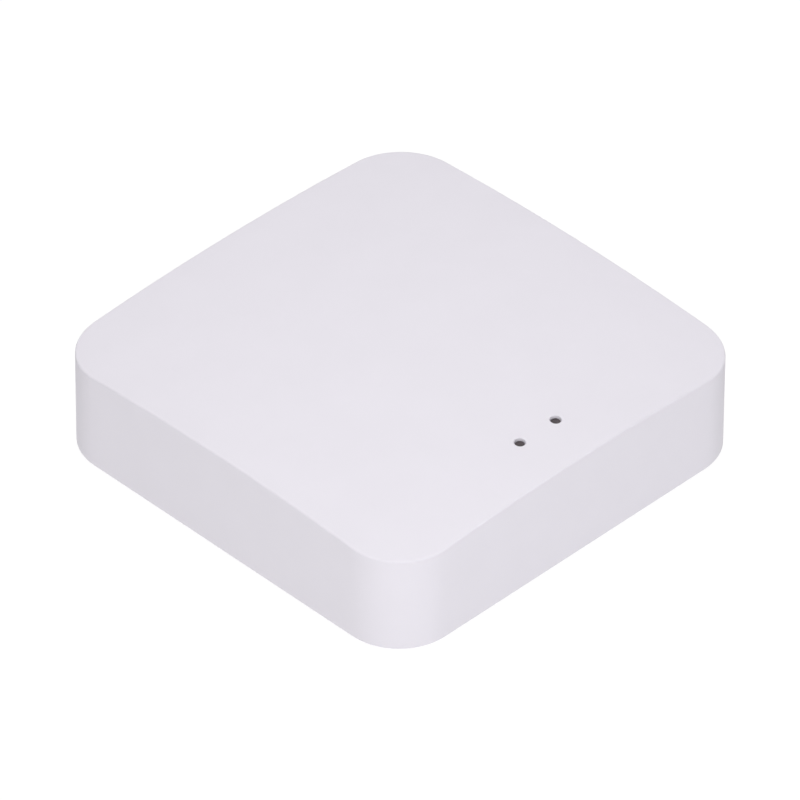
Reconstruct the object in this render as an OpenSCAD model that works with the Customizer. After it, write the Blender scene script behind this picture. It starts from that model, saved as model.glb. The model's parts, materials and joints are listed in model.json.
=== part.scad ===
// Smart home hub: a square, softly domed case that stands on four rubber feet, with two status
// lights in its top, and an Ethernet socket, a power socket and a reset button in its rear wall.
// Millimetres, +Z up. The origin is on the standing surface, under the middle of the case.
// The lights are near the front edge, at -Y, and the sockets are in the rear wall, at +Y.

/* [Case] */
// Side of the square case
case_side = 90; // [88:0.5:96]
// Radius of the four upright corners
corner_r = 11.7; // [10:0.1:14]
// Height of the case at its middle, without the feet
case_h = 23.8; // [23:0.1:26]
// Radius of the domed top
dome_r = 500; // [400:10:900]
// Thickness of the top cover's walls and roof
wall = 2; // [1.8:0.1:2.2]
// Bevel round the bottom edge
edge_break = 0.4; // [0.2:0.1:0.6]
// Thickness of the bottom cover
floor_t = 1.8; // [1.6:0.1:2.2]
// Gap between the bottom cover and the walls
cover_gap = 0.15; // [0.1:0.05:0.3]

/* [Feet and label] */
// Diameter of a rubber foot
foot_d = 9; // [7:0.5:10]
// Thickness of a rubber foot
foot_t = 1.4; // [1.2:0.1:1.6]
// How far a foot stands out of the case
foot_proud = 0.5; // [0.4:0.1:0.7]
// Distance of a foot from the middle, along X and along Y
foot_at = 33; // [30:0.5:34]
// Length of the blank rating label
label_l = 42; // [30:1:48]
// Width of the blank rating label
label_w = 22; // [16:1:24]
// Thickness of the rating label
label_t = 0.12; // [0.1:0.01:0.15]

/* [Status lights] */
// Distance between the two lights
light_pitch = 9.1; // [8.5:0.1:11]
// Distance of the lights from the front wall
light_from_front = 10.1; // [9.5:0.1:11]
// Diameter of a light's hole in the top cover
light_hole_d = 1.9; // [1.8:0.05:2.4]
// How much a light's hole widens in radius above the guide
light_flare = 0.1; // [0.05:0.05:0.3]
// Radius of the rounded rim of a light's hole
light_rim = 0.15; // [0.1:0.05:0.3]
// Diameter of a light guide's post
light_post_d = 1.7; // [1.5:0.05:1.7]
// How far the end of a post lies below the roof
light_sunk = 0.5; // [0.3:0.05:0.8]

/* [Circuit board] */
// Width of the board
board_w = 74; // [73:0.5:76]
// Thickness of the board
board_t = 1.6; // [1.5:0.1:1.7]
// Y of the board's front edge
board_front = -39; // [-39.5:0.5:-38.5]
// Y of the board's rear edge
board_rear = 40.5; // [40:0.1:40.8]
// Height of the standoffs under the board
standoff_h = 1.8; // [1.7:0.1:2.2]

/* [Ethernet socket] */
// Width of the socket
jack_w = 16; // [15.5:0.1:16.4]
// Height of the socket above the board
jack_h = 13; // [12.5:0.1:13.3]
// Depth of the socket
jack_d = 18; // [17.5:0.1:18.5]

/* [Power socket] */
// X of the power socket
usb_x = -20; // [-21:0.5:-19]

/* [Reset button] */
// X of the reset button
button_x = 20; // [16:0.5:22]
// Diameter of the reset button
button_d = 4; // [3.6:0.1:4.2]
// Gap round the reset button
button_gap = 0.25; // [0.2:0.05:0.3]
// How far the button moves in when it is pressed
button_travel = 0.25; // [0.2:0.05:0.3]

/* [Hidden] */

$fn = 64;
eps = 0.01;

white = [0.91, 0.91, 0.92];
rubber = [0.22, 0.22, 0.23];
metal = [0.76, 0.77, 0.78];
tin = [0.8, 0.8, 0.78];
gold = [0.86, 0.7, 0.36];
chip_black = [0.12, 0.12, 0.13];
plastic_black = [0.07, 0.07, 0.08];
board_green = [0.1, 0.36, 0.24];

half = case_side / 2;
inner_half = half - wall;
inner_r = corner_r - wall;
case_z = foot_proud;
case_top = case_z + case_h;
floor_z = case_z + floor_t;
cover_half = inner_half - cover_gap;
cover_r = inner_r - cover_gap;
board_z = floor_z + standoff_h;
board_top = board_z + board_t;
board_r = 6;

// Screws through the board into the standoffs
screw_spots = [[-33, -20], [33, -20], [-33, 24], [33, 24]];
screw_d = 1.9;
screw_l = 4;
screw_head_d = 3.8;
screw_head_h = 1.3;
pilot_d = 2;
standoff_d = 5;

// Posts under the roof that hold the board down
post_spots = [[-33, -34.5], [33, -34.5], [-33, 35], [33, 35]];
post_d = 3;

// Snap hooks round the bottom cover: angle of the side, and place along it
hook_spots = [[0, -16], [0, 16], [180, -16], [180, 16], [270, -20], [270, 20], [90, -30.5], [90, 30.5]];
hook_w = 5;
hook_t = 1.2;
hook_top = 8.2;
hook_catch_z = 6;
hook_reach = 0.6;

light_y = -half + light_from_front;
light_boss_d = 5;
light_boss_z = 16.8;
bridge_t = 1.2;
bridge_l = 22;
bridge_w = 4;
peg_d = 1.5;
peg_x = 8.8;
led_h = 1.9;

usb_z = board_top + 1.4;
usb_face = inner_half - 0.2;
usb_w = 7.5;
usb_h = 2.5;
usb_d = 5.6;
sheet = 0.3;

button_z = board_top + 3.9;
button_face = half - 0.3;
switch_side = 6;
switch_rear = 34.4;
switch_front = 37.4;
switch_cover_t = 0.4;
plunger_tip = 40.5;
plunger_d = 3.5;
plunger_flange_d = 4.8;
switch_cavity_d = 5.2;
switch_cavity_y = 35.2;

jack_face = half - 0.3;
jack_rear = jack_face - jack_d;
jack_gap = 0.25;
jack_top = board_top + jack_h;
jack_body_w = jack_w - 2 * sheet - 0.1;
plug_w = 11.9;
plug_h = 6.9;
plug_top = jack_top - 1.9;
plug_d = 12.2;
latch_steps = [[6.3, 1.4], [3.4, 2.5]];
contact_d = 0.4;
contact_pitch = 1.02;
contact_rows = [jack_rear + 1.4, jack_rear + 3.94];
contact_z = plug_top - 0.45;
contact_front = jack_face - 3.9;
contact_tip = [contact_front - 6.2, contact_z - 1.5];

// Through holes in the board: [x, y, diameter]
jack_holes = [for (i = [0:7]) [contact_x(i), contact_rows[i % 2], 0.9]];
jack_pegs = [for (s = [-1, 1]) [s * 5.7, jack_rear + 9, 3.2]];
switch_holes = [for (s = [-1, 1]) [button_x + s * 2.25, switch_rear + 0.8, 1]];
cover_holes = [for (s = [-1, 1]) [button_x + s * 3.5, switch_front - 1.2, 1.4]];
screw_holes = [for (p = screw_spots) [p[0], p[1], 2.4]];

chip_at = [-12, -7];
memory_at = [-12, -25];
flash_at = [7, -20];
crystal_at = [-14, 7.5];
transformer_at = [0, 18];
radio_at = [24.5, 2];
radio_l = 24;
radio_w = 16;
radio_t = 0.8;
can_l = 14;
can_w = 13;
can_h = 2;
can_at = [radio_at[0] - radio_l / 2 + can_l / 2 + 1, radio_at[1]];
regulator_at = [-28, 4];
inductor_at = [-28, 14];
can_spots = [[-14, 30], [-24, 29]];
can_d = 6.3;
diode_at = [-12.4, 37.8];

function contact_x(i) = (i - 3.5) * contact_pitch;
function roof(x, y) = case_top - dome_r + sqrt(dome_r * dome_r - x * x - y * y);

// A rounded rectangle about the origin
module rounded_rect(w, d, r) {
    square([w, d - 2 * r], center = true);
    square([w - 2 * r, d], center = true);
    for (x = [-1, 1], y = [-1, 1]) translate([x * (w / 2 - r), y * (d / 2 - r)]) circle(r);
}

// A slab with a rounded square outline
module rounded_slab(half_side, r, z0, z1) {
    translate([0, 0, z0]) linear_extrude(z1 - z0) rounded_rect(2 * half_side, 2 * half_side, r);
}

// The bevelled foot of a rounded slab: flat flanks on the sides and cones at the corners
module bevelled_foot(half_side, r, z0, bevel) {
    flat = half_side - r;
    for (turn = [0, 90]) {
        rotate([0, 0, turn]) rotate([90, 0, 0]) linear_extrude(2 * flat, center = true)
            polygon([
                [-half_side + bevel, z0], [half_side - bevel, z0],
                [half_side, z0 + bevel], [-half_side, z0 + bevel]
            ]);
    }
    for (x = [-1, 1], y = [-1, 1])
        translate([x * flat, y * flat, z0]) cylinder(r1 = r - bevel, r2 = r, h = bevel);
}

// The sphere that shapes the roof, sunk below its outside
module dome(depth) {
    translate([0, 0, case_top - dome_r]) sphere(r = dome_r - depth, $fn = 240);
}

// The outside of the case
module case_solid() {
    bevelled_foot(half, corner_r, case_z, edge_break);
    intersection() {
        rounded_slab(half, corner_r, case_z + edge_break, case_top + 1);
        dome(0);
    }
}

// A box centred in X and Y that stands on z
module block(x, y, z, size) {
    translate([x - size[0] / 2, y - size[1] / 2, z]) cube(size);
}

// A round bar along +Y
module bar_y(x, y0, y1, z, d) {
    translate([x, y0, z]) rotate([-90, 0, 0]) cylinder(d = d, h = y1 - y0);
}

// A thin round wire between two points in one X plane, with round ends
module wire(x, a, b, d) {
    dy = b[0] - a[0];
    dz = b[1] - a[1];
    translate([x, a[0], a[1]]) {
        sphere(d = d, $fn = 16);
        rotate([atan2(-dy, dz), 0, 0]) cylinder(d = d, h = norm([dy, dz]), $fn = 16);
    }
    translate([x, b[0], b[1]]) sphere(d = d, $fn = 16);
}

// A gull-wing lead along +Y that starts in a chip's side and ends flat on the board
module gull_lead(width, rise, reach, t) {
    rotate([90, 0, 90]) linear_extrude(width, center = true)
        polygon([
            [0, rise], [0, rise + t], [reach * 0.45, rise + t], [reach * 0.45 + t, t],
            [reach, t], [reach, 0], [reach * 0.45 + t / 2, 0], [reach * 0.45 - t, rise]
        ]);
}

// Two rows of gull-wing leads along X, one at each side of a chip
module lead_rows(at, count, pitch, body_w, width, rise, reach) {
    for (turn = [0, 180], i = [0:count - 1])
        translate([at[0], at[1], board_top]) rotate([0, 0, turn])
            translate([(i - (count - 1) / 2) * pitch, body_w / 2, 0])
                gull_lead(width, rise, reach, 0.15);
}

module status_led(x) {
    color([0.95, 0.93, 0.82]) difference() {
        block(x, light_y, board_top, [3.5, 2.8, led_h]);
        translate([x, light_y, board_top + led_h - 0.4]) cylinder(d1 = 1.9, d2 = 2.4, h = 0.4 + eps);
    }
}

module light_places() {
    for (x = [-1, 1]) translate([x * light_pitch / 2, light_y, 0]) children();
}

module peg_places() {
    for (x = [-1, 1]) translate([x * peg_x, light_y, 0]) children();
}

// Profile of a snap hook, outwards and up, from the bottom cover's edge
module hook_profile(slack) {
    polygon([
        [-eps - slack, hook_catch_z - slack], [hook_reach + slack, hook_catch_z - slack],
        [hook_reach + slack, hook_catch_z + 0.4 + slack], [-eps - slack, hook_top - 0.4 + 2 * slack]
    ]);
}

module hook_places() {
    for (h = hook_spots) rotate([0, 0, h[0]]) translate([cover_half, h[1], 0]) children();
}

module power_window() {
    translate([usb_x, 0, usb_z]) rotate([-90, 0, 0]) {
        translate([0, 0, inner_half - 1]) linear_extrude(wall + 2) rounded_rect(9, 3.6, 1);
        translate([0, 0, half - 1.2]) linear_extrude(wall) rounded_rect(12, 7.6, 1.6);
    }
}

// A light's hole: a bore round the guide's post, flared above it, with a rounded rim
module light_hole() {
    flare_h = light_sunk - light_rim;
    mouth_r = light_hole_d / 2 + light_flare;
    cylinder(d = light_hole_d, h = case_top + 1);
    translate([0, 0, roof(0, light_y) - light_rim]) rotate([asin(-light_y / dome_r), 0, 0])
        rotate_extrude() {
            polygon([[0, -flare_h], [light_hole_d / 2 - 0.03, -flare_h], [mouth_r, eps], [0, eps]]);
            difference() {
                square([mouth_r + light_rim, 3 * light_rim]);
                translate([mouth_r + light_rim, 0]) circle(r = light_rim);
            }
        }
}

module top_cover() {
    color(white) difference() {
        union() {
            difference() {
                case_solid();
                intersection() {
                    rounded_slab(inner_half, inner_r, case_z - 1, case_top);
                    dome(wall);
                }
            }
            light_places() translate([0, 0, light_boss_z])
                cylinder(d = light_boss_d, h = roof(0, light_y) - wall / 2 - light_boss_z);
            peg_places() translate([0, 0, light_boss_z - bridge_t - 0.4])
                cylinder(d = peg_d, h = roof(peg_x, light_y) - wall / 2 - light_boss_z + bridge_t + 0.4);
            for (p = post_spots) translate([p[0], p[1], board_top + 0.1])
                cylinder(d = post_d, h = roof(p[0], p[1]) - wall / 2 - board_top - 0.1);
        }
        light_places() light_hole();
        hook_places() rotate([90, 0, 0])
            linear_extrude(hook_w + 1, center = true) hook_profile(0.12);
        translate([-jack_w / 2 - jack_gap, inner_half - 1, case_z - 1])
            cube([jack_w + 2 * jack_gap, wall + 2, jack_top + jack_gap - case_z + 1]);
        power_window();
        bar_y(button_x, inner_half - 1, half + 1, button_z, button_d + 2 * button_gap);
    }
}

module slot_hole(length, width) {
    translate([0, 0, case_z - 1]) linear_extrude(floor_t + 2) {
        square([width, length - width], center = true);
        for (s = [-1, 1]) translate([0, s * (length - width) / 2]) circle(d = width);
    }
}

module bottom_cover() {
    tongue_w = jack_w + 2 * jack_gap - 2 * cover_gap;
    tongue_top = board_top - 0.2;
    color(white) difference() {
        union() {
            rounded_slab(cover_half, cover_r, case_z, floor_z);
            intersection() {
                translate([-tongue_w / 2, cover_half - 1, case_z])
                    cube([tongue_w, half, tongue_top - case_z]);
                case_solid();
            }
            for (p = screw_spots) translate([p[0], p[1], floor_z - 0.5])
                cylinder(d = standoff_d, h = standoff_h + 0.5);
            hook_places() {
                translate([-hook_t, -hook_w / 2, floor_z - 0.5])
                    cube([hook_t, hook_w, hook_top - floor_z + 0.5]);
                rotate([90, 0, 0]) linear_extrude(hook_w, center = true) hook_profile(0);
            }
        }
        for (p = screw_spots) translate([p[0], p[1], board_z - 2.4]) cylinder(d = pilot_d, h = 3);
        for (x = [-1, 1], y = [-1, 1]) translate([x * foot_at, y * foot_at, case_z - 1])
            cylinder(d = foot_d + 0.3, h = 1 + foot_t - foot_proud);
        translate([0, 0, case_z - 1]) linear_extrude(1 + label_t + 0.05)
            rounded_rect(label_l + 0.6, label_w + 0.6, 1.5);
        for (i = [-3:3], y = [-24, 24]) translate([i * 5, y, 0]) slot_hole(12, 1.6);
    }
}

module rubber_feet() {
    color(rubber) for (x = [-1, 1], y = [-1, 1]) translate([x * foot_at, y * foot_at, 0]) {
        translate([0, 0, 0.3]) cylinder(d = foot_d, h = foot_t - 0.3);
        cylinder(d1 = foot_d - 0.6, d2 = foot_d, h = 0.3);
    }
}

module rating_label() {
    color([0.82, 0.83, 0.84]) translate([0, 0, case_z + 0.04]) linear_extrude(label_t)
        rounded_rect(label_l, label_w, 1.2);
}

module light_guide() {
    post_foot = board_top + led_h + 0.3;
    bridge_z = light_boss_z - bridge_t - 0.1;
    color([0.82, 0.84, 0.86]) difference() {
        union() {
            light_places() {
                translate([0, 0, post_foot]) cylinder(d1 = 3.2, d2 = light_post_d, h = 3);
                translate([0, 0, post_foot + 3])
                    cylinder(d = light_post_d, h = roof(0, light_y) - light_sunk - post_foot - 3);
            }
            block(0, light_y, bridge_z, [bridge_l, bridge_w, bridge_t]);
        }
        peg_places() translate([0, 0, bridge_z - 1]) cylinder(d = peg_d + 0.2, h = bridge_t + 2);
    }
}

module circuit_board() {
    color(board_green) difference() {
        translate([0, (board_front + board_rear) / 2, board_z]) linear_extrude(board_t)
            rounded_rect(board_w, board_rear - board_front, board_r);
        for (h = concat(screw_holes, jack_holes, jack_pegs, switch_holes, cover_holes))
            translate([h[0], h[1], board_z - 1]) cylinder(d = h[2], h = board_t + 2);
    }
}

module board_screws() {
    color(metal) for (p = screw_spots) translate([p[0], p[1], board_top]) difference() {
        union() {
            translate([0, 0, -screw_l]) cylinder(d = screw_d, h = screw_l + 0.5);
            cylinder(d = screw_head_d, h = screw_head_h);
        }
        for (turn = [0, 90]) rotate([0, 0, turn]) block(0, 0, screw_head_h - 0.7, [2.2, 0.5, 1]);
    }
}

module led_left() {
    status_led(-light_pitch / 2);
}

module led_right() {
    status_led(light_pitch / 2);
}

module reset_button_cap() {
    flange_y = inner_half - 0.1;
    color(white) {
        bar_y(button_x, flange_y - 0.5, button_face - 0.3, button_z, button_d);
        translate([button_x, button_face - 0.3, button_z]) rotate([-90, 0, 0])
            cylinder(d1 = button_d, d2 = button_d - 0.6, h = 0.3);
        bar_y(button_x, flange_y - 1, flange_y, button_z, button_d + 2.4);
        bar_y(button_x, plunger_tip, flange_y - 0.5, button_z, 3);
    }
}

module switch_plunger() {
    color([0.16, 0.16, 0.17]) {
        bar_y(button_x, switch_front - 0.5, plunger_tip, button_z, plunger_d);
        bar_y(button_x, switch_front - 1, switch_front - 0.1, button_z, plunger_flange_d);
    }
}

module switch_body() {
    color(plastic_black) difference() {
        translate([button_x - switch_side / 2, switch_rear, button_z - switch_side / 2])
            cube([switch_side, switch_front - switch_rear, switch_side]);
        bar_y(button_x, switch_cavity_y, switch_front + 1, button_z, switch_cavity_d);
    }
}

module switch_cover() {
    side = switch_side + 2 * sheet + 0.4;
    color(metal) {
        difference() {
            translate([button_x - side / 2, switch_front, button_z - switch_side / 2])
                cube([side, switch_cover_t, switch_side]);
            bar_y(button_x, switch_front - 1, switch_front + 1, button_z, plunger_d + 0.4);
        }
        for (s = [-1, 1]) {
            translate([button_x + s * (side - sheet) / 2 - sheet / 2, switch_front - 2, board_top])
                cube([sheet, 2.2, button_z + 1 - board_top]);
            translate([button_x + s * (side - sheet) / 2 - sheet / 2, switch_front - 1.6, board_z - 1.2])
                cube([sheet, 0.8, board_t + 1.5]);
        }
    }
}

module switch_dome() {
    rim = 2.4;
    crown = 1.1;
    rise = 0.45;
    t = 0.15;
    color(metal) translate([button_x, switch_cavity_y, button_z]) rotate([-90, 0, 0]) rotate_extrude()
        polygon([[rim - t, 0], [rim, 0], [crown, rise], [0, rise], [0, rise - t], [crown - t, rise - t]]);
}

module switch_leads() {
    color(tin) for (s = [-1, 1]) {
        block(button_x + s * 2.25, switch_rear + 0.8, board_z - 1.2, [0.6, 0.3, board_t + 1.2]);
        block(button_x + s * 2.25, switch_rear + 0.8, board_top, [0.6, 0.3, 0.85]);
    }
}

module jack_side_box(w, y0, y1, z0, z1) {
    translate([-w / 2, y0, z0]) cube([w, y1 - y0, z1 - z0]);
}

module ethernet_jack_housing() {
    pocket_front = contact_rows[1] + 0.9;
    pocket_w = 8 * contact_pitch + 0.6;
    color(plastic_black) {
        difference() {
            jack_side_box(jack_body_w, jack_rear + 0.4, jack_face - 0.3, board_top + 0.1, jack_top - 0.4);
            jack_side_box(plug_w, jack_face - plug_d, jack_face + 1, plug_top - plug_h, plug_top);
            for (s = latch_steps)
                jack_side_box(s[0], jack_face - plug_d, jack_face + 1, plug_top - plug_h - s[1], plug_top - 1);
            jack_side_box(pocket_w, jack_rear - 1, pocket_front, board_top - 1, plug_top);
            jack_side_box(pocket_w, pocket_front - 1, jack_face - plug_d + 1, contact_z - 0.5, plug_top);
        }
        for (p = jack_pegs) translate([p[0], p[1], board_z - 0.6])
            cylinder(d = p[2] - 0.2, h = board_t + 0.8);
    }
}

module ethernet_jack_shield() {
    color(metal) {
        difference() {
            jack_side_box(jack_w, jack_rear, jack_face, board_top + 0.1, jack_top);
            jack_side_box(jack_w - 2 * sheet, jack_rear + sheet, jack_face - sheet, board_top - 1, jack_top - sheet);
            jack_side_box(plug_w + 0.4, jack_face - 1, jack_face + 1, plug_top - plug_h - 0.1, plug_top + 0.2);
            jack_side_box(latch_steps[0][0] + 0.4, jack_face - 1, jack_face + 1, plug_top - plug_h - 2.7, plug_top);
        }
    }
}

module ethernet_jack_contacts() {
    color(gold) for (i = [0:7]) {
        row = contact_rows[i % 2];
        wire(contact_x(i), [row, board_z - 1.2], [row, contact_z], contact_d);
        wire(contact_x(i), [row, contact_z], [contact_front, contact_z], contact_d);
        wire(contact_x(i), [contact_front, contact_z], contact_tip, contact_d);
    }
}

module ethernet_transformer() {
    color(chip_black) block(transformer_at[0], transformer_at[1], board_top + 0.2, [12.7, 7.4, 5.4]);
}

module ethernet_transformer_leads() {
    color(tin) lead_rows(transformer_at, 8, 1.27, 7.4, 0.45, 1, 1.4);
}

// Outline of the power socket: a flat top with sloping lower corners
module usb_outline(inset) {
    w = usb_w / 2 - inset;
    h = usb_h / 2 - inset;
    polygon([[-w, h], [w, h], [w, -h + 1.1], [w - 0.8, -h], [-w + 0.8, -h], [-w, -h + 1.1]]);
}

module usb_socket_shell() {
    color(metal) {
        translate([usb_x, usb_face, usb_z]) rotate([90, 0, 0]) difference() {
            linear_extrude(usb_d) usb_outline(0);
            translate([0, 0, -1]) linear_extrude(usb_d + 2) usb_outline(sheet);
        }
        translate([usb_x, usb_face - 0.3, usb_z]) rotate([90, 0, 0]) linear_extrude(0.3, center = true)
            difference() {
                usb_outline(-0.3);
                usb_outline(sheet);
            }
        for (s = [-1, 1], y = [2.9, 4.7])
            translate([usb_x + s * (usb_w / 2 + 0.3) - 0.4, usb_face - y - 0.5, board_top])
                cube([0.8, 1, usb_z - board_top]);
    }
}

module usb_socket_tongue() {
    color(plastic_black) translate([usb_x, usb_face, usb_z]) {
        translate([-1.9, -4.8, 0.15]) cube([3.8, 4.2, 0.55]);
        rotate([90, 0, 0]) translate([0, 0, usb_d - 1.2]) linear_extrude(1.2) usb_outline(sheet + 0.03);
    }
}

module usb_socket_contacts() {
    color(gold) for (i = [-2:2]) translate([usb_x + i * 0.65, usb_face, 0]) {
        translate([-0.15, -4.3, usb_z + 0.03]) cube([0.3, 3.4, 0.1]);
        translate([-0.15, -usb_d - 1, board_top]) cube([0.3, 0.95, 0.15]);
    }
}

module processor() {
    color(chip_black) block(chip_at[0], chip_at[1], board_top + 0.05, [14, 14, 1]);
}

module memory_chip() {
    color(chip_black) block(memory_at[0], memory_at[1], board_top + 0.1, [22.2, 10.2, 1]);
}

module memory_chip_leads() {
    color(tin) lead_rows(memory_at, 27, 0.8, 10.2, 0.35, 0.45, 0.8);
}

module flash_chip() {
    color(chip_black) block(flash_at[0], flash_at[1], board_top + 0.1, [5.2, 5.2, 1.8]);
}

module flash_chip_leads() {
    color(tin) lead_rows(flash_at, 4, 1.27, 5.2, 0.42, 0.8, 1.3);
}

module clock_crystal() {
    color(metal) translate([crystal_at[0], crystal_at[1], board_top + 0.2]) {
        linear_extrude(3.3) {
            square([7, 4], center = true);
            for (s = [-1, 1]) translate([s * 3.5, 0]) circle(d = 4);
        }
        linear_extrude(0.4) {
            square([7, 4.7], center = true);
            for (s = [-1, 1]) translate([s * 3.5, 0]) circle(d = 4.7);
        }
    }
}

module radio_board() {
    color([0.08, 0.2, 0.34]) block(radio_at[0], radio_at[1], board_top, [radio_l, radio_w, radio_t]);
}

module radio_shield() {
    z = board_top + radio_t;
    color(metal) difference() {
        block(can_at[0], can_at[1], z, [can_l, can_w, can_h]);
        block(can_at[0], can_at[1], z - 1, [can_l - 0.4, can_w - 0.4, can_h + 0.8]);
    }
}

module radio_antenna() {
    track = 0.6;
    turns = 4;
    x0 = can_at[0] + can_l / 2 + 1.6;
    z = board_top + radio_t;
    step = 1.6;
    color(gold) for (i = [0:turns - 1]) {
        block(x0 + i * step, radio_at[1] + 3, z, [track, 8, 0.05]);
        if (i < turns - 1)
            block(x0 + (i + 0.5) * step, radio_at[1] + (i % 2 == 0 ? 6.7 : -0.7), z, [step + track, track, 0.05]);
    }
}

module radio_chip() {
    color(chip_black) block(can_at[0] - 1, can_at[1] + 1, board_top + radio_t, [7, 7, 0.85]);
}

module radio_crystal() {
    color(metal) block(can_at[0] + 4.6, can_at[1] - 3.6, board_top + radio_t, [3.2, 2.5, 0.7]);
}

module voltage_regulator() {
    color(chip_black) block(regulator_at[0], regulator_at[1], board_top + 0.1, [6.5, 3.5, 1.6]);
}

module regulator_leads() {
    color(tin) translate([regulator_at[0], regulator_at[1], board_top]) {
        for (i = [-1:1]) translate([i * 2.3, 1.75, 0]) gull_lead(0.7, 0.7, 1.6, 0.25);
        rotate([0, 0, 180]) translate([0, 1.75, 0]) gull_lead(3, 0.7, 1.6, 0.25);
    }
}

module power_inductor() {
    color([0.3, 0.3, 0.31]) {
        block(inductor_at[0], inductor_at[1], board_top, [6, 6, 1]);
        translate([inductor_at[0], inductor_at[1], board_top + 0.5]) cylinder(d = 4.4, h = 2);
        translate([inductor_at[0], inductor_at[1], board_top + 2]) cylinder(d = 5.8, h = 0.9);
    }
}

module capacitor_cans() {
    color([0.72, 0.73, 0.75]) for (p = can_spots) translate([p[0], p[1], board_top + 1]) {
        cylinder(d = can_d, h = 4.4);
        translate([0, 0, 4.4]) cylinder(d1 = can_d, d2 = can_d - 0.6, h = 0.3);
    }
}

module capacitor_bases() {
    color(plastic_black) for (p = can_spots) block(p[0], p[1], board_top, [6.6, 6.6, 1]);
}

module surge_diode() {
    color(chip_black) block(diode_at[0], diode_at[1], board_top + 0.1, [4.3, 2.6, 2]);
}

module ceramic_capacitors() {
    beside_chip = [for (i = [0:4], s = [-1, 1]) [chip_at[0] + s * 9, chip_at[1] - 5 + i * 2.5]];
    near_power = [for (i = [0:3]) [-34, 8 + i * 3]];
    color([0.66, 0.55, 0.42]) for (p = concat(beside_chip, near_power))
        block(p[0], p[1], board_top, [1.6, 0.8, 0.8]);
}

module chip_resistors() {
    near_jack = [for (i = [-3:3]) [i * 2, 11]];
    near_lights = [for (s = [-1, 1]) [s * 8.5, light_y]];
    near_flash = [for (i = [0:2]) [13, -22 + i * 2]];
    color([0.16, 0.16, 0.17]) for (p = concat(near_jack, near_lights, near_flash))
        block(p[0], p[1], board_top, [1.6, 0.8, 0.5]);
}

top_cover();
bottom_cover();
rubber_feet();
rating_label();
light_guide();
circuit_board();
board_screws();
led_left();
led_right();
reset_button_cap();
switch_plunger();
switch_body();
switch_cover();
switch_dome();
switch_leads();
ethernet_jack_housing();
ethernet_jack_shield();
ethernet_jack_contacts();
ethernet_transformer();
ethernet_transformer_leads();
usb_socket_shell();
usb_socket_tongue();
usb_socket_contacts();
processor();
memory_chip();
memory_chip_leads();
flash_chip();
flash_chip_leads();
clock_crystal();
radio_board();
radio_shield();
radio_antenna();
radio_chip();
radio_crystal();
voltage_regulator();
regulator_leads();
power_inductor();
capacitor_cans();
capacitor_bases();
surge_diode();
ceramic_capacitors();
chip_resistors();
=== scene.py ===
"""Looks of the square smart home hub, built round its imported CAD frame.

Everything is in metres, in the CAD frame: +Z up, the status lights near -Y, the sockets at +Y.
"""

import json
import math

import bmesh
import bpy
from mathutils import Matrix, Quaternion, Vector


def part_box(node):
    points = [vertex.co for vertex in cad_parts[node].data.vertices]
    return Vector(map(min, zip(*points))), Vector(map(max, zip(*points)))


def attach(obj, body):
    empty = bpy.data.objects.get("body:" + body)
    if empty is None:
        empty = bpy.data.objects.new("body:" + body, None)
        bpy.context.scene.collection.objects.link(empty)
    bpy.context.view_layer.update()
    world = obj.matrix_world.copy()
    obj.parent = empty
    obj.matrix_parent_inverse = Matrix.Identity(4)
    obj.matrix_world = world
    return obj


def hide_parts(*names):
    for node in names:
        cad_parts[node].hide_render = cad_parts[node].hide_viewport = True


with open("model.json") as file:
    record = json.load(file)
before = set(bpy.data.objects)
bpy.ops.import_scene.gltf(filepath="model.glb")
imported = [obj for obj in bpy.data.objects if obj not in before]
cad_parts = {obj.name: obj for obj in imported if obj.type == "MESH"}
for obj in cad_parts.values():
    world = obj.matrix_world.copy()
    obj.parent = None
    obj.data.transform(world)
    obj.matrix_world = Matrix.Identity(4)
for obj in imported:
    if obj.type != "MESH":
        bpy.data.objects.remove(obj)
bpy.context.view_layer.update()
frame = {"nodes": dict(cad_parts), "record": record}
MM = 0.001

# ---------------------------------------------------------------- sizes and places

# The case: its top cover's box, and the sizes that the box doesn't give
case_low, case_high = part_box("top_cover")
HALF = (case_high.x - case_low.x) / 2
BASE_Z = case_low.z
TOP_Z = case_high.z
MIDDLE = Vector((0, 0, (BASE_Z + TOP_Z) / 2))
CORNER_RADIUS = 11.7 * MM
DOME_RADIUS = 500 * MM
WALL = 2 * MM
TOP_FILLET = 0.4 * MM
FOOT_BEVEL = 0.4 * MM
CASE_SOFTENING = 0.12 * MM

# Steps round each corner, along each side, and up the outside and the inside of the case
CORNER_STEPS = 28
SIDE_STEPS = 14
FOOT_STEPS = 5
FILLET_STEPS = 8
ROOF_STEPS = 30
INNER_FILLET_STEPS = 3
CEILING_STEPS = 8

# Cutters: how far they go past what they cut, and the steps of their curves
CLEAR = 1 * MM
ARC_STEPS = 8
BAR_STEPS = 48
BUTTON_HOLE_STEPS = 64
LIGHT_HOLE_STEPS = 72

# Within these distances points are one, in a new mesh and before its edges are softened
SAME_POINT = 1e-7
WELD_DISTANCE = 1e-6

# Edges that turn by more than this are softened
SHARP_ANGLE = math.radians(35)

# The holes over the status lights: a bore, a flare above the sunk light guide, and a rounded rim
STATUS_LIGHTS = ("led_left", "led_right")
LIGHT_HOLE_RADIUS = 0.95 * MM
LIGHT_HOLE_DEPTH = 8 * MM
LIGHT_FLARE = 0.1 * MM
LIGHT_RIM = 0.15 * MM
LIGHT_SUNK = 0.5 * MM

# Outside the rim the hole's cutter leaves the roof, this far out and this far up
LIGHT_CUTTER_EDGE = 0.1 * MM
LIGHT_CUTTER_LIFT = 0.02 * MM

# Openings in the rear wall
SOCKET_GAP = 0.25 * MM
BUTTON_RADIUS = 2 * MM
BUTTON_GAP = 0.25 * MM

# From the top of the power socket's shell down to the middle of its mouth
USB_MOUTH_DROP = 1.55 * MM

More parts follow.
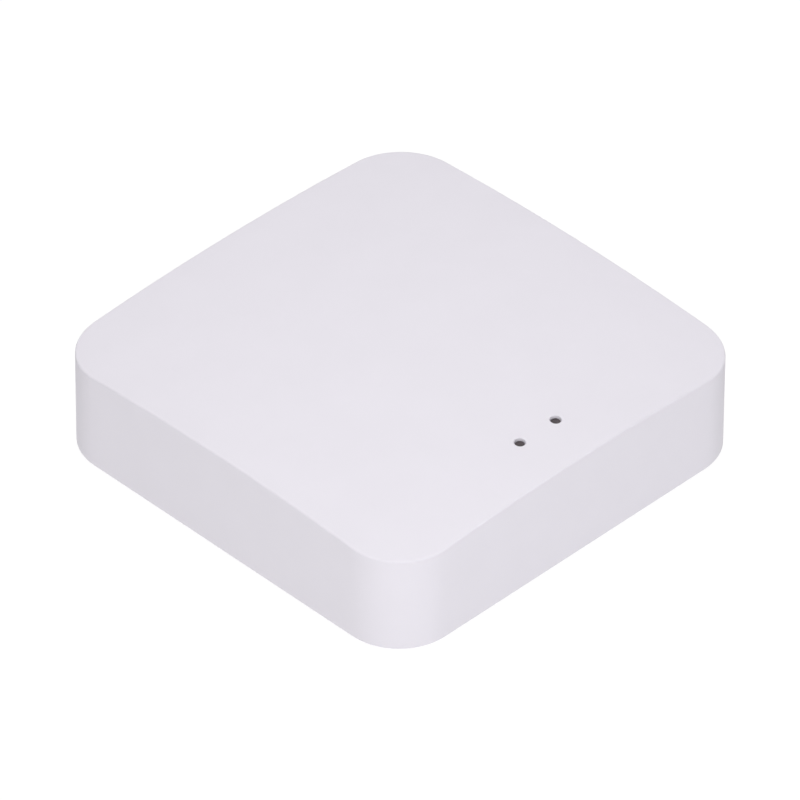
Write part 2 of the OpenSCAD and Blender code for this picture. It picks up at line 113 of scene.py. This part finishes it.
# The power socket's window and the recess round it: half the width, half the height, the radius of
# the corners, and the depth
USB_WINDOW = (4.5 * MM, 1.8 * MM, 1 * MM, WALL + CLEAR)
USB_RECESS = (6 * MM, 3.8 * MM, 1.6 * MM, 1.2 * MM)

# Under the roof: bosses round the light guide's posts, pegs that hold its bridge, and posts that end
# just above the board. Each Z is a lower end
BOSS_RADIUS = 2.5 * MM
BOSS_Z = 16.8 * MM
PEG_RADIUS = 0.75 * MM
PEG_X = 8.8 * MM
PEG_Z = 15.2 * MM
POST_RADIUS = 1.5 * MM
POST_GAP = 0.1 * MM
POST_SPOTS = [(x * MM, y * MM) for y in (-34.5, 35) for x in (-33, 33)]

# Snap pockets: how far from a side's middle its two pockets are, by the side's angle in degrees, and
# their profile in millimetres, outwards and up from the bottom cover's edge
POCKET_REACH = {0: 16 * MM, 180: 16 * MM, 270: 20 * MM, 90: 30.5 * MM}
POCKET_PROFILE = [(-0.13, 5.88), (0.72, 5.88), (0.72, 6.52), (-0.13, 8.04)]
POCKET_LENGTH = 6 * MM
COVER_HALF = 42.85 * MM

# How far the edges of CAD nodes are rounded
SOFTENED = {
    "bottom_cover": 0.15 * MM,
    "ethernet_jack_shield": 0.08 * MM,
    "ethernet_jack_housing": 0.12 * MM,
    "usb_socket_tongue": 0.08 * MM,
    "rating_label": 0.03 * MM,
    "processor": 0.12 * MM,
    "memory_chip": 0.12 * MM,
    "flash_chip": 0.12 * MM,
    "ethernet_transformer": 0.25 * MM,
    "voltage_regulator": 0.15 * MM,
    "surge_diode": 0.15 * MM,
    "radio_shield": 0.12 * MM,
    "capacitor_bases": 0.3 * MM,
}


# ---------------------------------------------------------------- camera

# Angles in degrees, lens and sensor in millimetres, clipping in metres
CAMERA_AZIMUTH = -44.99
CAMERA_ELEVATION = 39.425
CAMERA_ROLL = 0.33
CAMERA_LENS = 523.1
CAMERA_SENSOR = 36
CAMERA_CLIP = (0.05, 20)

# In sides of the case: how far away the camera is, and how far up in its view it aims
CAMERA_DISTANCE = 23.4
CAMERA_RISE = -0.0232


def look_at_case(name, data, azimuth, elevation, distance, rise=0.0, roll=0.0):
    """A lamp or camera that looks at the case. Azimuth 0 is at -Y, and 90 degrees is at +X."""
    a, e = math.radians(azimuth), math.radians(elevation)
    back = Vector((math.sin(a) * math.cos(e), -math.cos(a) * math.cos(e), math.sin(e)))
    turn = (-back).to_track_quat("-Z", "Y")
    viewer = bpy.data.objects.new(name, data)
    bpy.context.scene.collection.objects.link(viewer)
    viewer.location = MIDDLE + turn @ Vector((0, rise, 0)) + back * distance
    viewer.rotation_mode = "QUATERNION"
    viewer.rotation_quaternion = turn @ Quaternion((0, 0, 1), math.radians(roll))
    return viewer


def make_camera():
    """A long lens that looks down on the corner between the light edge and the -X side."""
    data = bpy.data.cameras.new("camera")
    data.sensor_width = CAMERA_SENSOR
    data.lens = CAMERA_LENS
    data.clip_start, data.clip_end = CAMERA_CLIP
    side = 2 * HALF
    bpy.context.scene.camera = look_at_case(
        "camera", data, CAMERA_AZIMUTH, CAMERA_ELEVATION,
        CAMERA_DISTANCE * side, CAMERA_RISE * side, CAMERA_ROLL,
    )


# ---------------------------------------------------------------- mesh helpers

def new_object(name, bm, smooth=False):
    """A mesh object made from bm, with outward normals."""
    bmesh.ops.recalc_face_normals(bm, faces=bm.faces)
    mesh = bpy.data.meshes.new(name)
    bm.to_mesh(mesh)
    bm.free()
    if smooth:
        mesh.shade_smooth()
    made = bpy.data.objects.new(name, mesh)
    bpy.context.scene.collection.objects.link(made)
    return made


def middle_of(node):
    """X, Y and Z of the middle of a node's box."""
    return [(low + high) / 2 for low, high in zip(*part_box(node))]


def roof(x, y, sunk=0.0):
    """Height of the domed roof, or of a dome sunk below it."""
    radius = DOME_RADIUS - sunk
    return TOP_Z - DOME_RADIUS + math.sqrt(radius * radius - x * x - y * y)


def perimeter(inset=0.0):
    """Points and outward normals round the case's rounded square."""
    flat = HALF - CORNER_RADIUS
    stations = []
    for quarter in range(4):
        turn = Matrix.Rotation(quarter * math.pi / 2, 2)
        for i in range(CORNER_STEPS):
            angle = i / CORNER_STEPS * math.pi / 2
            normal = Vector((math.cos(angle), math.sin(angle)))
            point = Vector((flat, flat)) + normal * (CORNER_RADIUS - inset)
            stations.append((turn @ point, turn @ normal))
        for i in range(SIDE_STEPS):
            x = flat - 2 * flat * i / SIDE_STEPS
            stations.append((turn @ Vector((x, HALF - inset)), turn @ Vector((0, 1))))
    return stations


def quarter_arc(steps):
    """Angles from 0 to 90 degrees, in radians."""
    return [k / steps * math.pi / 2 for k in range(steps + 1)]


def foot_ring(stations, angle):
    """A ring of the rounded lower edge, at an angle from the base."""
    inset = FOOT_BEVEL * (1 - math.sin(angle))
    z = BASE_Z + FOOT_BEVEL * (1 - math.cos(angle))
    return [(point.x - normal.x * inset, point.y - normal.y * inset, z) for point, normal in stations]


def fillet_ring(stations, angle, sunk):
    """A ring of the rolling-ball fillet between the wall and the roof, at an angle from the wall."""
    ring = []
    for point, normal in stations:
        slope = math.atan2(point.dot(normal), DOME_RADIUS)
        lean = math.pi / 2 - angle * (1 - slope / (math.pi / 2))
        seat = point - normal * TOP_FILLET * (1 - math.sin(slope))
        centre_z = roof(seat.x, seat.y, sunk) - TOP_FILLET * math.cos(slope)
        edge = point - normal * TOP_FILLET * (1 - math.sin(lean))
        ring.append((edge.x, edge.y, centre_z + TOP_FILLET * math.cos(lean)))
    return ring


def crown(stations, sunk, fillet_steps, roof_steps):
    """Rings from a wall's top over the fillet and along the dome, almost to its middle."""
    rings = [fillet_ring(stations, angle, sunk) for angle in quarter_arc(fillet_steps)]
    edge = rings[-1]
    for k in range(1, roof_steps):
        share = 1 - k / roof_steps
        rings.append([(x * share, y * share, roof(x * share, y * share, sunk)) for x, y, _ in edge])
    return rings


def skin(bm, rings):
    """Quads between rings of the same length. Returns the rings as rows of vertices."""
    rows = [[bm.verts.new(place) for place in ring] for ring in rings]
    for a, b in zip(rows, rows[1:]):
        for i in range(len(a)):
            j = (i + 1) % len(a)
            bm.faces.new((a[i], a[j], b[j], b[i]))
    return rows


def closed_skin(bm, rings):
    """A solid: a skin whose first and last rings are filled."""
    rows = skin(bm, rings)
    bm.faces.new(rows[0])
    bm.faces.new(rows[-1])


def close_with_fan(bm, row, z):
    """Triangles from a row of vertices to a point on the Z axis."""
    centre = bm.verts.new((0, 0, z))
    for i in range(len(row)):
        bm.faces.new((row[i], row[(i + 1) % len(row)], centre))


def add_cylinder(bm, centre, axis, radius, length, steps):
    """Adds a capped cylinder round centre."""
    turn = Vector((0, 0, 1)).rotation_difference(Vector(axis)).to_matrix().to_4x4()
    bmesh.ops.create_cone(
        bm, cap_ends=True, segments=steps, radius1=radius, radius2=radius, depth=length,
        matrix=Matrix.Translation(centre) @ turn,
    )


def box_tool(name, low, high, corner=0.0):
    """A box for a Boolean, with its edges along Y rounded."""
    half_x, half_z = (high[0] - low[0]) / 2, (high[2] - low[2]) / 2
    middle_x, middle_z = (high[0] + low[0]) / 2, (high[2] + low[2]) / 2
    outline = []
    for quarter, (x_side, z_side) in enumerate(((1, 1), (-1, 1), (-1, -1), (1, -1))):
        for i in range(ARC_STEPS + 1 if corner else 1):
            angle = (quarter + i / ARC_STEPS) * math.pi / 2
            x = middle_x + x_side * (half_x - corner) + corner * math.cos(angle)
            z = middle_z + z_side * (half_z - corner) + corner * math.sin(angle)
            outline.append((x, z))
    bm = bmesh.new()
    closed_skin(bm, [[(x, y, z) for x, z in outline] for y in (low[1], high[1])])
    return new_object(name, bm)


def combine(piece, tools, operation):
    """Adds the tools to piece, or takes them out of it, and removes them."""
    for tool in tools:
        boolean = piece.modifiers.new(operation.lower(), "BOOLEAN")
        boolean.operation = operation
        boolean.solver = "EXACT"
        boolean.object = tool
    bpy.context.view_layer.update()
    graph = bpy.context.evaluated_depsgraph_get()
    mesh = bpy.data.meshes.new_from_object(piece.evaluated_get(graph))
    piece.modifiers.clear()
    piece.data = mesh
    for tool in tools:
        bpy.data.objects.remove(tool)


def soften(piece, width, segments=2):
    """Rounds the sharp edges a little, as a moulding or pressing has them."""
    weld = piece.modifiers.new("weld", "WELD")
    weld.merge_threshold = WELD_DISTANCE
    bevel = piece.modifiers.new("soft_edges", "BEVEL")
    bevel.width = width
    bevel.segments = segments
    bevel.limit_method = "ANGLE"
    bevel.angle_limit = SHARP_ANGLE
    bevel.harden_normals = True
    bevel.use_clamp_overlap = True


# ---------------------------------------------------------------- top cover

def make_case_shell():
    """The top cover: domed roof, rolled top edge, walls, and the openings in roof and rear wall."""
    outer = perimeter()
    inner = perimeter(inset=WALL)
    inner_edge = [(point.x, point.y, BASE_Z) for point, _ in inner]
    outside = [inner_edge] + [foot_ring(outer, angle) for angle in quarter_arc(FOOT_STEPS)]
    outside += crown(outer, 0.0, FILLET_STEPS, ROOF_STEPS)
    inside = [inner_edge] + crown(inner, WALL, INNER_FILLET_STEPS, CEILING_STEPS)
    bm = bmesh.new()
    for rings, top in ((outside, TOP_Z), (inside, TOP_Z - WALL)):
        rows = skin(bm, rings)
        close_with_fan(bm, rows[-1], top)
    bmesh.ops.remove_doubles(bm, verts=bm.verts, dist=SAME_POINT)
    shell = new_object("case_shell", bm, smooth=True)
    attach(shell, "case")
    combine(shell, [inside_posts()], "UNION")
    combine(shell, rear_openings() + light_holes() + [snap_pockets()], "DIFFERENCE")
    soften(shell, CASE_SOFTENING, segments=3)
    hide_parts("top_cover")
    return shell


def inside_posts():
    """Bosses round the light guide's posts, its pegs, and the posts that hold the board down."""
    bars = [(*middle_of(light)[:2], BOSS_Z, BOSS_RADIUS) for light in STATUS_LIGHTS]
    light_y = bars[0][1]
    bars += [(x, light_y, PEG_Z, PEG_RADIUS) for x in (-PEG_X, PEG_X)]
    post_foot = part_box("circuit_board")[1].z + POST_GAP
    bars += [(x, y, post_foot, POST_RADIUS) for x, y in POST_SPOTS]
    bm = bmesh.new()
    for x, y, foot, radius in bars:
        length = roof(x, y) - WALL / 2 - foot
        add_cylinder(bm, (x, y, foot + length / 2), (0, 0, 1), radius, length, BAR_STEPS)
    return new_object("inside_posts", bm)


def rear_cutter(name, x, z, half_width, half_height, corner, depth):
    """Cutter for a rounded opening in the rear wall."""
    low = (x - half_width, HALF - depth, z - half_height)
    high = (x + half_width, HALF + CLEAR, z + half_height)
    return box_tool(name, low, high, corner)


def button_cutter():
    """Cutter for the reset button's hole."""
    x, _, z = middle_of("reset_button_cap")
    bm = bmesh.new()
    radius = BUTTON_RADIUS + BUTTON_GAP
    add_cylinder(bm, (x, HALF, z), (0, 1, 0), radius, 2 * (WALL + CLEAR), BUTTON_HOLE_STEPS)
    return new_object("cut_button", bm)


def rear_openings():
    """Cutters for the network socket, the power socket's window and recess, and the button."""
    jack_low, jack_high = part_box("ethernet_jack_shield")
    notch = box_tool(
        "cut_jack",
        (jack_low.x - SOCKET_GAP, HALF - WALL - CLEAR, BASE_Z - CLEAR),
        (jack_high.x + SOCKET_GAP, HALF + CLEAR, jack_high.z + SOCKET_GAP),
    )
    usb_x = middle_of("usb_socket_shell")[0]
    usb_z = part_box("usb_socket_shell")[1].z - USB_MOUTH_DROP
    window = rear_cutter("cut_usb_window", usb_x, usb_z, *USB_WINDOW)
    recess = rear_cutter("cut_usb_recess", usb_x, usb_z, *USB_RECESS)
    return [notch, window, recess, button_cutter()]


def light_hole(name, x, y):
    """Cutter for a light's hole, with a rim that follows the roof."""
    crest = LIGHT_HOLE_RADIUS + LIGHT_FLARE + LIGHT_RIM
    profile = [(LIGHT_HOLE_RADIUS, -LIGHT_HOLE_DEPTH), (LIGHT_HOLE_RADIUS, -LIGHT_SUNK)]
    # The rim rolls over from upright until it is nearly level
    for degrees in range(0, 81, 10):
        roll = math.radians(degrees)
        profile.append((crest - LIGHT_RIM * math.cos(roll), -LIGHT_RIM * (1 - math.sin(roll))))
    outside = crest + LIGHT_CUTTER_EDGE
    profile += [(outside, LIGHT_CUTTER_LIFT), (outside, CLEAR)]
    rings = [[] for _ in profile]
    for i in range(LIGHT_HOLE_STEPS):
        angle = 2 * math.pi * i / LIGHT_HOLE_STEPS
        along_x, along_y = math.cos(angle), math.sin(angle)
        surface_z = roof(x + crest * along_x, y + crest * along_y)
        for ring, (reach, rise) in zip(rings, profile):
            ring.append((x + reach * along_x, y + reach * along_y, surface_z + rise))
    bm = bmesh.new()
    closed_skin(bm, rings)
    return new_object(name, bm)


def light_holes():
    """Cutters for the holes over the status lights."""
    return [light_hole("cut_" + light, *middle_of(light)[:2]) for light in STATUS_LIGHTS]


def snap_pockets():
    """Cutter for the pockets that the bottom cover's hooks snap into."""
    bm = bmesh.new()
    for angle, reach in POCKET_REACH.items():
        turn = Matrix.Rotation(math.radians(angle), 3, "Z")
        for place in (-reach, reach):
            closed_skin(bm, [
                [turn @ Vector((COVER_HALF + out * MM, along, up * MM)) for out, up in POCKET_PROFILE]
                for along in (place - POCKET_LENGTH / 2, place + POCKET_LENGTH / 2)
            ])
    return new_object("snap_pockets", bm)


# ---------------------------------------------------------------- materials

# Moulded plastic and rubber: colour, roughness, the grain's size and depth in millimetres, mottling
# as a share of the colour, and the specular level
MOULDED = {
    "case_plastic": ((0.778, 0.752, 0.809), 0.55, 0.18, 0.004, 0.006, 0.2),
    "button_plastic": ((0.74, 0.72, 0.77), 0.35, 0.18, 0.002, 0.006, 0.5),
    "foot_rubber": ((0.05, 0.05, 0.052), 0.75, 0.25, 0.02, 0.08, 0.5),
    "label_film": ((0.6, 0.6, 0.62), 0.3, 0.5, 0.002, 0.02, 0.5),
    "led_body": ((0.82, 0.78, 0.6), 0.35, 0.1, 0.004, 0.006, 0.5),
    "socket_plastic": ((0.022, 0.022, 0.024), 0.42, 0.12, 0.006, 0.1, 0.5),
    "chip_epoxy": ((0.03, 0.03, 0.032), 0.6, 0.1, 0.008, 0.12, 0.5),
    "ferrite": ((0.07, 0.07, 0.075), 0.55, 0.2, 0.02, 0.1, 0.5),
    "ceramic": ((0.36, 0.25, 0.16), 0.45, 0.15, 0.006, 0.06, 0.5),
    "resistor": ((0.03, 0.03, 0.033), 0.3, 0.15, 0.004, 0.06, 0.5),
}

# Metals: colour, roughness, and how much the drawn lines are squeezed along X, Y and Z
METALS = {
    "screw_steel": ((0.55, 0.55, 0.57), 0.35, (1, 1, 12)),
    "sheet_metal": ((0.5, 0.51, 0.52), 0.28, (14, 1, 1)),
    "tin_lead": ((0.7, 0.7, 0.68), 0.4, (1, 1, 1)),
    "contact_gold": ((0.83, 0.6, 0.25), 0.22, (1, 8, 1)),
    "can_aluminium": ((0.74, 0.75, 0.77), 0.25, (1, 1, 10)),
}

# Circuit boards: colour of the solder mask, and of the tracks under it
BOARDS = {
    "board_laminate": ((0.012, 0.1, 0.05), (0.03, 0.17, 0.08)),
    "module_laminate": ((0.01, 0.035, 0.11), (0.02, 0.07, 0.17)),
}

VIA_COLOUR = (0.55, 0.5, 0.36)
GUIDE_COLOUR = (0.055, 0.041, 0.046)


class Surface:
    """A material with a Principled shader, and short ways to add the nodes that feed it."""

    def __init__(self, name, colour, roughness, metallic=0.0, **sockets):
        self.material = bpy.data.materials.new(name)
        self.material.use_nodes = True
        self.tree = self.material.node_tree
        self.shader = self.tree.nodes["Principled BSDF"]
        self.colour, self.roughness = colour, roughness
        self.fill(self.shader, Base_Color=(*colour, 1), Roughness=roughness, Metallic=metallic)
        self.fill(self.shader, **sockets)
        self.position = self.add("ShaderNodeTexCoord").outputs["Object"]

    def fill(self, node, **sockets):
        """Sets input sockets, whose names have underscores here in place of spaces."""
        for socket, value in sockets.items():
            node.inputs[socket.replace("_", " ")].default_value = value

    def add(self, kind, **sockets):
        """A new node with some of its input sockets set."""
        node = self.tree.nodes.new(kind)
        self.fill(node, **sockets)
        return node

    def link(self, source, target):
        """Feeds an output socket into an input socket."""
        self.tree.links.new(source, target)

    def stretched(self, scale):
        """Object coordinates scaled differently along each axis."""
        mapping = self.add("ShaderNodeMapping", Scale=scale)
        self.link(self.position, mapping.inputs["Vector"])
        return mapping.outputs["Vector"]

    def noise(self, size, detail=2.0, position=None):
        """Noise whose features are about size across, in metres."""
        node = self.add("ShaderNodeTexNoise", Scale=1 / size, Detail=detail)
        self.link(position or self.position, node.inputs["Vector"])
        return node.outputs["Fac"]

    def mapped(self, value, low, high, start=0.3, end=0.7):
        """value from start..end to low..high."""
        node = self.add("ShaderNodeMapRange", From_Min=start, From_Max=end, To_Min=low, To_Max=high)
        self.link(value, node.inputs["Value"])
        return node.outputs["Result"]

    def mixed(self, factor, first, second):
        """A colour between two colours, each a tuple or a socket."""
        node = self.add("ShaderNodeMix")
        node.data_type = "RGBA"
        self.link(factor, node.inputs["Factor"])
        # This node has a pair of inputs for each type of data: 6 and 7 are the colours, and the
        # colour comes out of output 2
        for socket, value in ((node.inputs[6], first), (node.inputs[7], second)):
            if isinstance(value, tuple):
                socket.default_value = (*value, 1)
            else:
                self.link(value, socket)
        return node.outputs[2]

    def shade(self, value, share):
        """Lets value, from 0 to 1, darken and lighten the base colour by share."""
        dark = tuple(c * (1 - share) for c in self.colour)
        light = tuple(min(1, c * (1 + share)) for c in self.colour)
        self.link(self.mixed(value, dark, light), self.shader.inputs["Base Color"])

    def vary_roughness(self, value, spread):
        """Lets value move the roughness by spread either way."""
        rough = self.mapped(value, self.roughness - spread, self.roughness + spread)
        self.link(rough, self.shader.inputs["Roughness"])

    def bump(self, value, depth, strength, before=None):
        """Relief of that depth, in metres, on top of an earlier relief."""
        node = self.add("ShaderNodeBump", Strength=strength, Distance=depth)
        self.link(value, node.inputs["Height"])
        if before:
            self.link(before, node.inputs["Normal"])
        self.link(node.outputs["Normal"], self.shader.inputs["Normal"])
        return node.outputs["Normal"]


def moulded(name, colour, roughness, grain, depth, mottle, specular):
    """Moulded plastic or rubber: a fine spark-eroded grain and faint cloudiness."""
    surface = Surface(name, colour, roughness, Specular_IOR_Level=specular)
    fine = surface.noise(grain * MM, detail=3)
    broad = surface.noise(9 * MM)
    surface.shade(surface.mapped(broad, 0, 1), mottle)
    surface.vary_roughness(fine, spread=0.05)
    wave = surface.bump(broad, depth=0.02 * MM, strength=0.15)
    surface.bump(fine, depth * MM, strength=0.6, before=wave)
    return surface.material


def drawn_metal(name, colour, roughness, squeeze):
    """Plated sheet or turned metal: drawn lines along one axis, and dull patches."""
    surface = Surface(name, colour, roughness, metallic=1.0)
    lines = surface.noise(0.06 * MM, detail=4, position=surface.stretched(squeeze))
    patches = surface.noise(2.5 * MM, detail=3)
    surface.shade(surface.mapped(patches, 0, 1), share=0.02)
    surface.vary_roughness(patches, spread=0.03)
    surface.bump(lines, depth=0.002 * MM, strength=0.5)
    return surface.material


def solder_mask(name, colour, track_colour):
    """A board's face: solder mask over tracks, with vias and a woven laminate under it."""
    surface = Surface(name, colour, 0.32, Coat_Weight=0.4, Coat_Roughness=0.2)
    # The tracks are the joints between bricks 7.2 mm long and 0.9 mm high
    bricks = surface.add(
        "ShaderNodeTexBrick",
        Scale=1 / (8 * MM), Mortar_Size=0.012, Brick_Width=0.9, Row_Height=0.11,
    )
    surface.link(surface.position, bricks.inputs["Vector"])
    tracks = surface.mixed(bricks.outputs["Fac"], colour, track_colour)
    # The vias are dots 0.6 mm across, some 3.5 mm apart
    cells = surface.add("ShaderNodeTexVoronoi", Scale=1 / (3.5 * MM))
    surface.link(surface.position, cells.inputs["Vector"])
    via = surface.mapped(cells.outputs["Distance"], 1, 0, start=0.07, end=0.09)
    surface.link(surface.mixed(via, tracks, VIA_COLOUR), surface.shader.inputs["Base Color"])
    weave = surface.noise(0.4 * MM, detail=1, position=surface.stretched((1, 3, 1)))
    relief = surface.bump(bricks.outputs["Fac"], depth=0.03 * MM, strength=0.5)
    surface.bump(weave, depth=0.01 * MM, strength=0.2, before=relief)
    return surface.material


def smoky_guide(name):
    """The light guide: tinted, frosted plastic that looks grey while the lights are off."""
    surface = Surface(name, GUIDE_COLOUR, 0.45, Specular_IOR_Level=0.3)
    cloud = surface.noise(0.7 * MM, detail=3)
    surface.shade(surface.mapped(cloud, 0, 1), share=0.12)
    surface.bump(surface.noise(0.08 * MM), depth=0.003 * MM, strength=0.5)
    return surface.material


def make_materials():
    """One material for each of the record's slots."""
    made = {"light_guide": smoky_guide("light_guide")}
    for maker, family in ((moulded, MOULDED), (drawn_metal, METALS), (solder_mask, BOARDS)):
        for slot, values in family.items():
            made[slot] = maker(slot, *values)
    return made


def dress(piece, material):
    """Gives a piece one material in place of what it has."""
    piece.data.materials.clear()
    piece.data.materials.append(material)


def finish_cad_nodes(materials):
    """Gives each CAD node that shows its slot's material, and softens the edges of small parts."""
    for part in frame["record"]["subparts"]:
        node = frame["nodes"][part["node"]]
        if node.hide_render:
            continue
        dress(node, materials[part["material_slot"]])
        if part["node"] in SOFTENED:
            soften(node, SOFTENED[part["node"]])


# ---------------------------------------------------------------- stage

# Soft lamps: name, azimuth and elevation in degrees, distance and size in metres, watts and colour
LAMPS = [
    ("above", -45, 88, 0.7, 0.5, 3.2, (1, 1, 1)),
    ("near_wide", -45, 35, 0.7, 0.5, 1.6, (1, 1, 1)),
    ("right_low", -15, 10, 0.5, 0.2, 0.22, (0.95, 0.96, 1)),
    ("left_low", -75, 10, 0.5, 0.2, 0.08, (1, 0.98, 0.95)),
    ("behind", 135, 50, 0.7, 0.4, 1.1, (1, 1, 1)),
]

# The surround's strength below one height over the horizon and above another, in degrees
HORIZON_STRENGTH = 1.05
HORIZON_HEIGHT = 6
SKY_STRENGTH = 0.05
SKY_HEIGHT = 12

# The floor: half its side, and its paper's colour and glow
FLOOR_HALF = 0.4
FLOOR_COLOUR = (0.15, 0.15, 0.15)
FLOOR_GLOW = 0.89

WHITE = (1, 1, 1, 1)


def make_lamps():
    """Round area lamps that look at the case."""
    for name, azimuth, elevation, distance, size, watts, colour in LAMPS:
        data = bpy.data.lights.new(name, "AREA")
        data.shape = "DISK"
        data.size = size
        data.energy = watts
        data.color = colour
        look_at_case(name, data, azimuth, elevation, distance)


def make_surround():
    """Dim, even light from above, white at the horizon, so that low views end in white."""
    world = bpy.data.worlds.new("surround")
    bpy.context.scene.world = world
    world.use_nodes = True
    tree = world.node_tree
    direction = tree.nodes.new("ShaderNodeTexCoord")
    height = tree.nodes.new("ShaderNodeSeparateXYZ")
    level = tree.nodes.new("ShaderNodeMapRange")
    level.inputs["From Min"].default_value = math.sin(math.radians(HORIZON_HEIGHT))
    level.inputs["From Max"].default_value = math.sin(math.radians(SKY_HEIGHT))
    level.inputs["To Min"].default_value = HORIZON_STRENGTH
    level.inputs["To Max"].default_value = SKY_STRENGTH
    background = tree.nodes["Background"]
    background.inputs["Color"].default_value = WHITE
    tree.links.new(direction.outputs["Generated"], height.inputs["Vector"])
    tree.links.new(height.outputs["Z"], level.inputs["Value"])
    tree.links.new(level.outputs["Result"], background.inputs["Strength"])


def make_floor():
    """A white paper floor that glows a little and takes only a trace of shade."""
    bm = bmesh.new()
    bmesh.ops.create_grid(bm, x_segments=1, y_segments=1, size=FLOOR_HALF)
    floor = new_object("floor", bm)
    paper = Surface(
        "floor_white", FLOOR_COLOUR, 1.0,
        Specular_IOR_Level=0, Emission_Color=WHITE, Emission_Strength=FLOOR_GLOW,
    )
    dress(floor, paper.material)


def make_stage():
    """The surround, the floor and the lamps."""
    bpy.context.scene.view_settings.view_transform = "Standard"
    make_surround()
    make_floor()
    make_lamps()


make_camera()
materials = make_materials()
dress(make_case_shell(), materials["case_plastic"])
finish_cad_nodes(materials)
make_stage()
